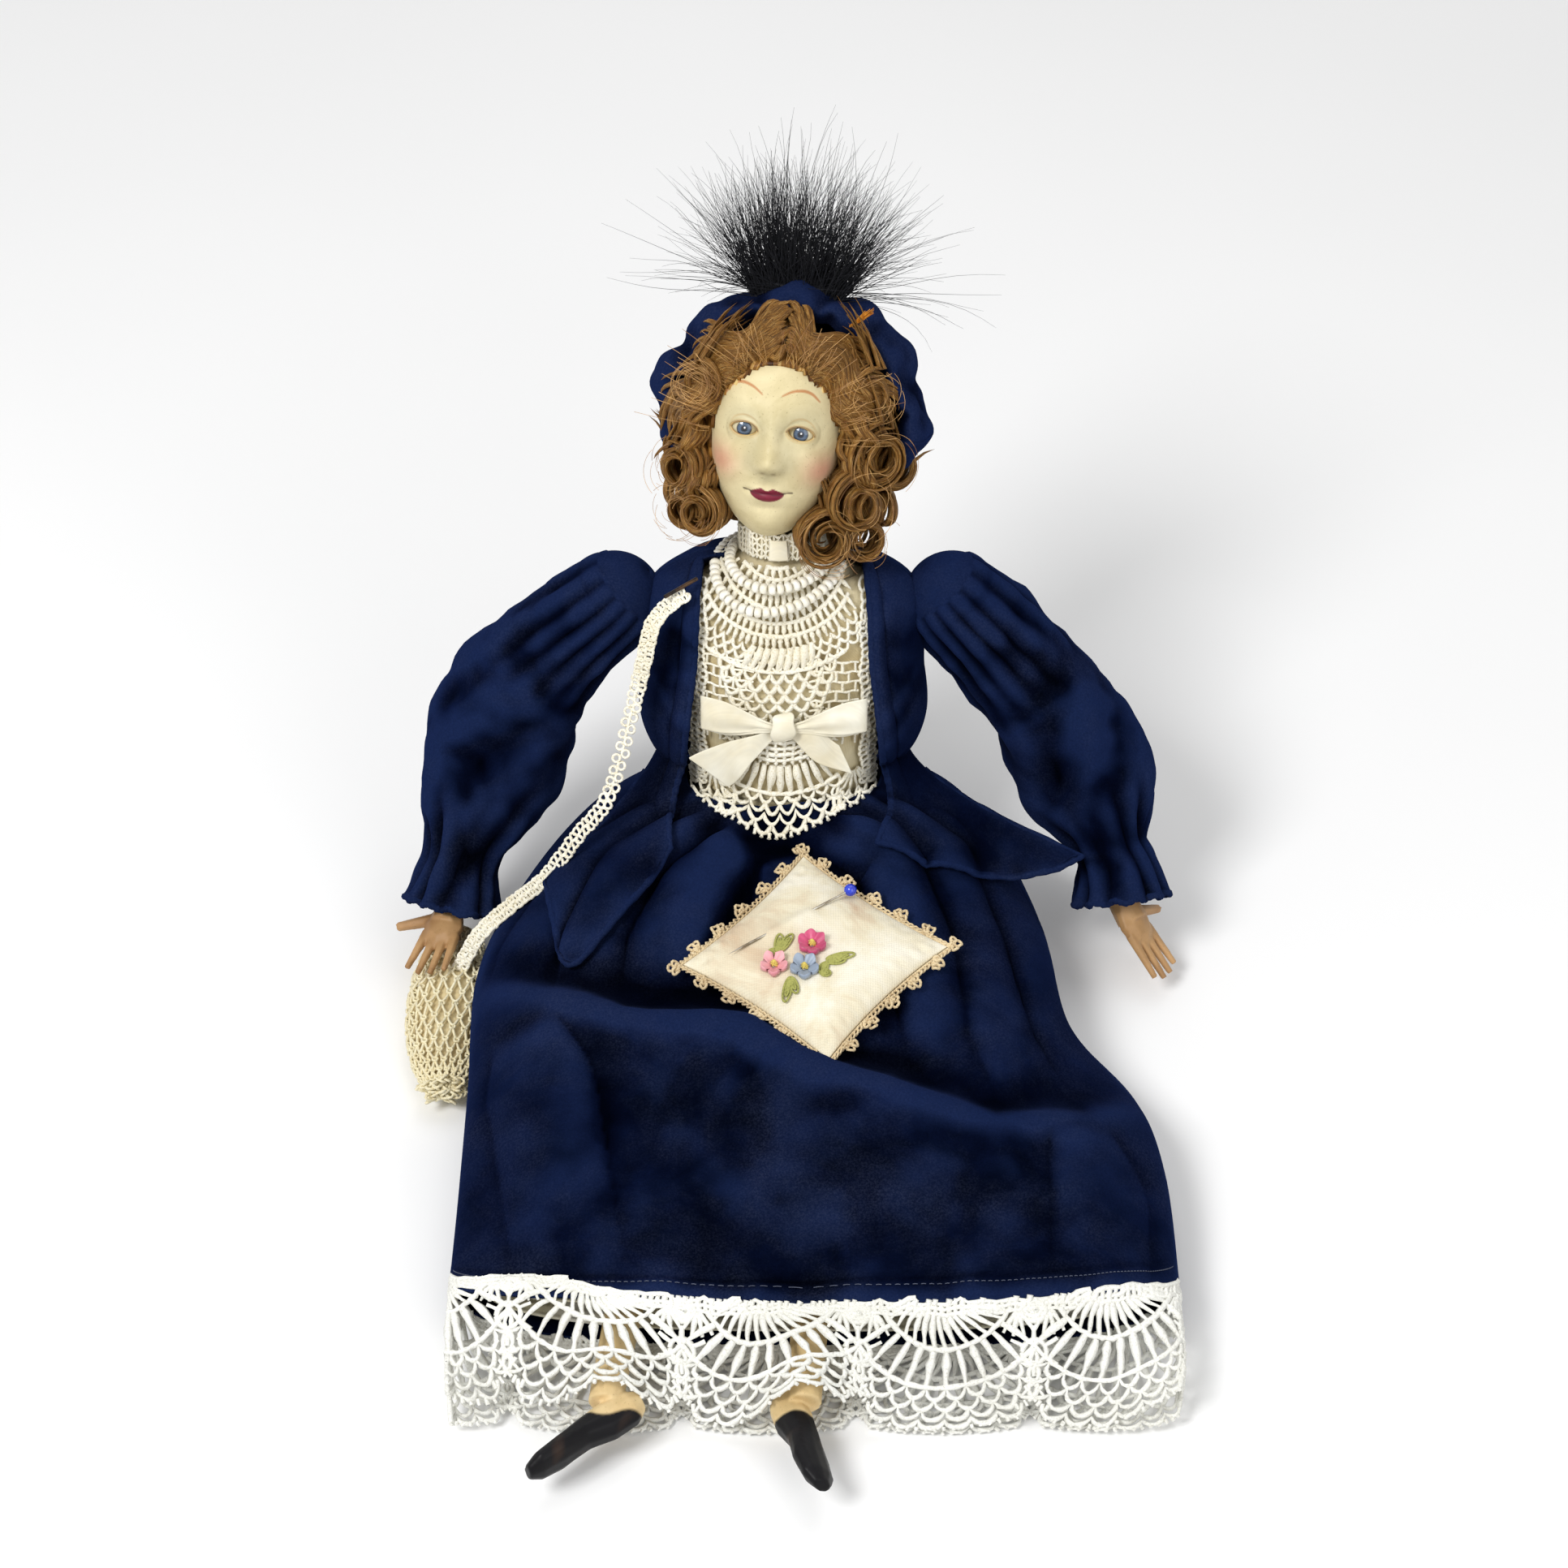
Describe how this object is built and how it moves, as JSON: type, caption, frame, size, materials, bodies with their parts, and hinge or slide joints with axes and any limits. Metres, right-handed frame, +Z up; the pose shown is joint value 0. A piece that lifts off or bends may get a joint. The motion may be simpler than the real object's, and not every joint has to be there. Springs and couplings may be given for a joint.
{
  "type": "china doll",
  "caption": "Seated china doll with porcelain head, hands and feet on a stuffed cloth body, dressed in velvet and crochet lace, with a lap pincushion and a lace bag.",
  "frame": {"origin": "on the flat underside of the seat, in the doll's middle plane, just in front of the hips", "axes": "+Z up, -Y the way the doll faces, +X to the doll's left"},
  "size_m": [0.2552, 0.3552, 0.2611],
  "materials": {
    "porcelain": "smooth matte cream bisque with faint grey stains",
    "hand_porcelain": "tan-brown matte bisque",
    "leg_porcelain": "tan bisque, with near-black painted slippers",
    "eyes": "glossy blue iris, dark pupil, pale white",
    "muslin": "cream cotton muslin, plain weave",
    "cotton_cord": "twisted cotton cord",
    "hair": "golden auburn curled mohair with a soft shine",
    "velvet": "dark navy velvet, dusty where it is worn",
    "feather": "black fluffy feather",
    "tuft": "amber dyed quill tip",
    "cream_lace": "cream cotton crochet lace",
    "white_lace": "off-white cotton crochet lace",
    "petticoat_cotton": "white tucked cotton",
    "satin": "ivory satin ribbon with a soft sheen",
    "beads": "cream pearly seed beads",
    "cushion_cloth": "cream cotton twill",
    "edging": "beige picot crochet",
    "rose_ribbon": "dark pink silk ribbon",
    "pink_ribbon": "light pink silk ribbon",
    "blue_ribbon": "blue-grey silk ribbon",
    "green_thread": "olive silk ribbon",
    "steel": "plain steel wire",
    "dark_steel": "dark steel pin",
    "blue_glass": "glossy deep blue pin head"
  },
  "bodies": {
    "torso": {"body": "muslin", "neck_tie": "cotton_cord", "blouse": "muslin", "blouse_lace": "cream_lace", "collar_lace": "cream_lace", "necklace_upper": "beads", "necklace_lower": "beads", "ribbon_bow": "satin", "jacket_back": "velvet", "jacket_front_right": "velvet", "jacket_front_left": "velvet", "skirt_seat": "velvet", "lace_bag": "cream_lace", "bag_strap": "cream_lace", "strap_pin": "dark_steel"},
    "head": {"head": "porcelain", "eye_right": "eyes", "eye_left": "eyes", "wig": "hair", "hat": "velvet", "plume": "feather", "hat_tuft": "tuft"},
    "arm_right": {"upper_arm_right": "muslin", "arm_tie_right": "cotton_cord", "sleeve_right": "velvet"},
    "arm_left": {"upper_arm_left": "muslin", "arm_tie_left": "cotton_cord", "sleeve_left": "velvet"},
    "hand_right": {"hand_right": "hand_porcelain"},
    "hand_left": {"hand_left": "hand_porcelain"},
    "lap": {"skirt_lap": "velvet", "hem_lace": "white_lace", "petticoat": "petticoat_cotton", "thigh_right": "muslin", "thigh_left": "muslin", "leg_tie_right": "cotton_cord", "leg_tie_left": "cotton_cord", "pincushion": "cushion_cloth", "pincushion_edging": "edging", "flower_rose": "rose_ribbon", "flower_pink": "pink_ribbon", "flower_blue": "blue_ribbon", "leaves_upper": "green_thread", "leaves_side": "green_thread", "leaves_lower": "green_thread"},
    "leg_right": {"shin_right": "leg_porcelain"},
    "leg_left": {"shin_left": "leg_porcelain"},
    "ball_pin": {"pin_shaft": "steel", "pin_head": "blue_glass"}
  },
  "joints": [
    {"name": "neck_turn", "type": "hinge", "parent": "torso", "child": "head", "pos_m": [0, 0.03918, 0.12942], "axis": [0, 0.2588, 0.9659], "range_deg": [-25, 25]},
    {"name": "right_arm_raise", "type": "hinge", "parent": "torso", "child": "arm_right", "pos_m": [-0.054, 0.03574, 0.11274], "axis": [0, 1, 0], "range_deg": [0, 60]},
    {"name": "left_arm_raise", "type": "hinge", "parent": "torso", "child": "arm_left", "pos_m": [0.054, 0.03574, 0.11274], "axis": [0, -1, 0], "range_deg": [0, 60]},
    {"name": "right_hand_turn", "type": "hinge", "parent": "arm_right", "child": "hand_right", "pos_m": [-0.108, -0.01, 0.022], "axis": [-0.2586, -0.6034, -0.7543], "range_deg": [0, 45]},
    {"name": "left_hand_turn", "type": "hinge", "parent": "arm_left", "child": "hand_left", "pos_m": [0.11, -0.01, 0.025], "axis": [0.2633, -0.6701, -0.694], "range_deg": [-40, 40]},
    {"name": "hip_fold", "type": "hinge", "parent": "torso", "child": "lap", "pos_m": [0, 0.012, 0.028], "axis": [1, 0, 0], "range_deg": [0, 45]},
    {"name": "right_foot_roll", "type": "hinge", "parent": "lap", "child": "leg_right", "pos_m": [-0.035, -0.098, 0.027], "axis": [-0.137, -0.9848, -0.107], "range_deg": [-25, 0]},
    {"name": "left_foot_roll", "type": "hinge", "parent": "lap", "child": "leg_left", "pos_m": [0.013, -0.098, 0.027], "axis": [-0.0604, -0.9923, -0.1079], "range_deg": [-25, 25]},
    {"name": "ball_pin_pull", "type": "slide", "parent": "lap", "child": "ball_pin", "axis": [0.8297, 0.5517, 0.0852], "range_m": [0, 0.02]}
  ]
}
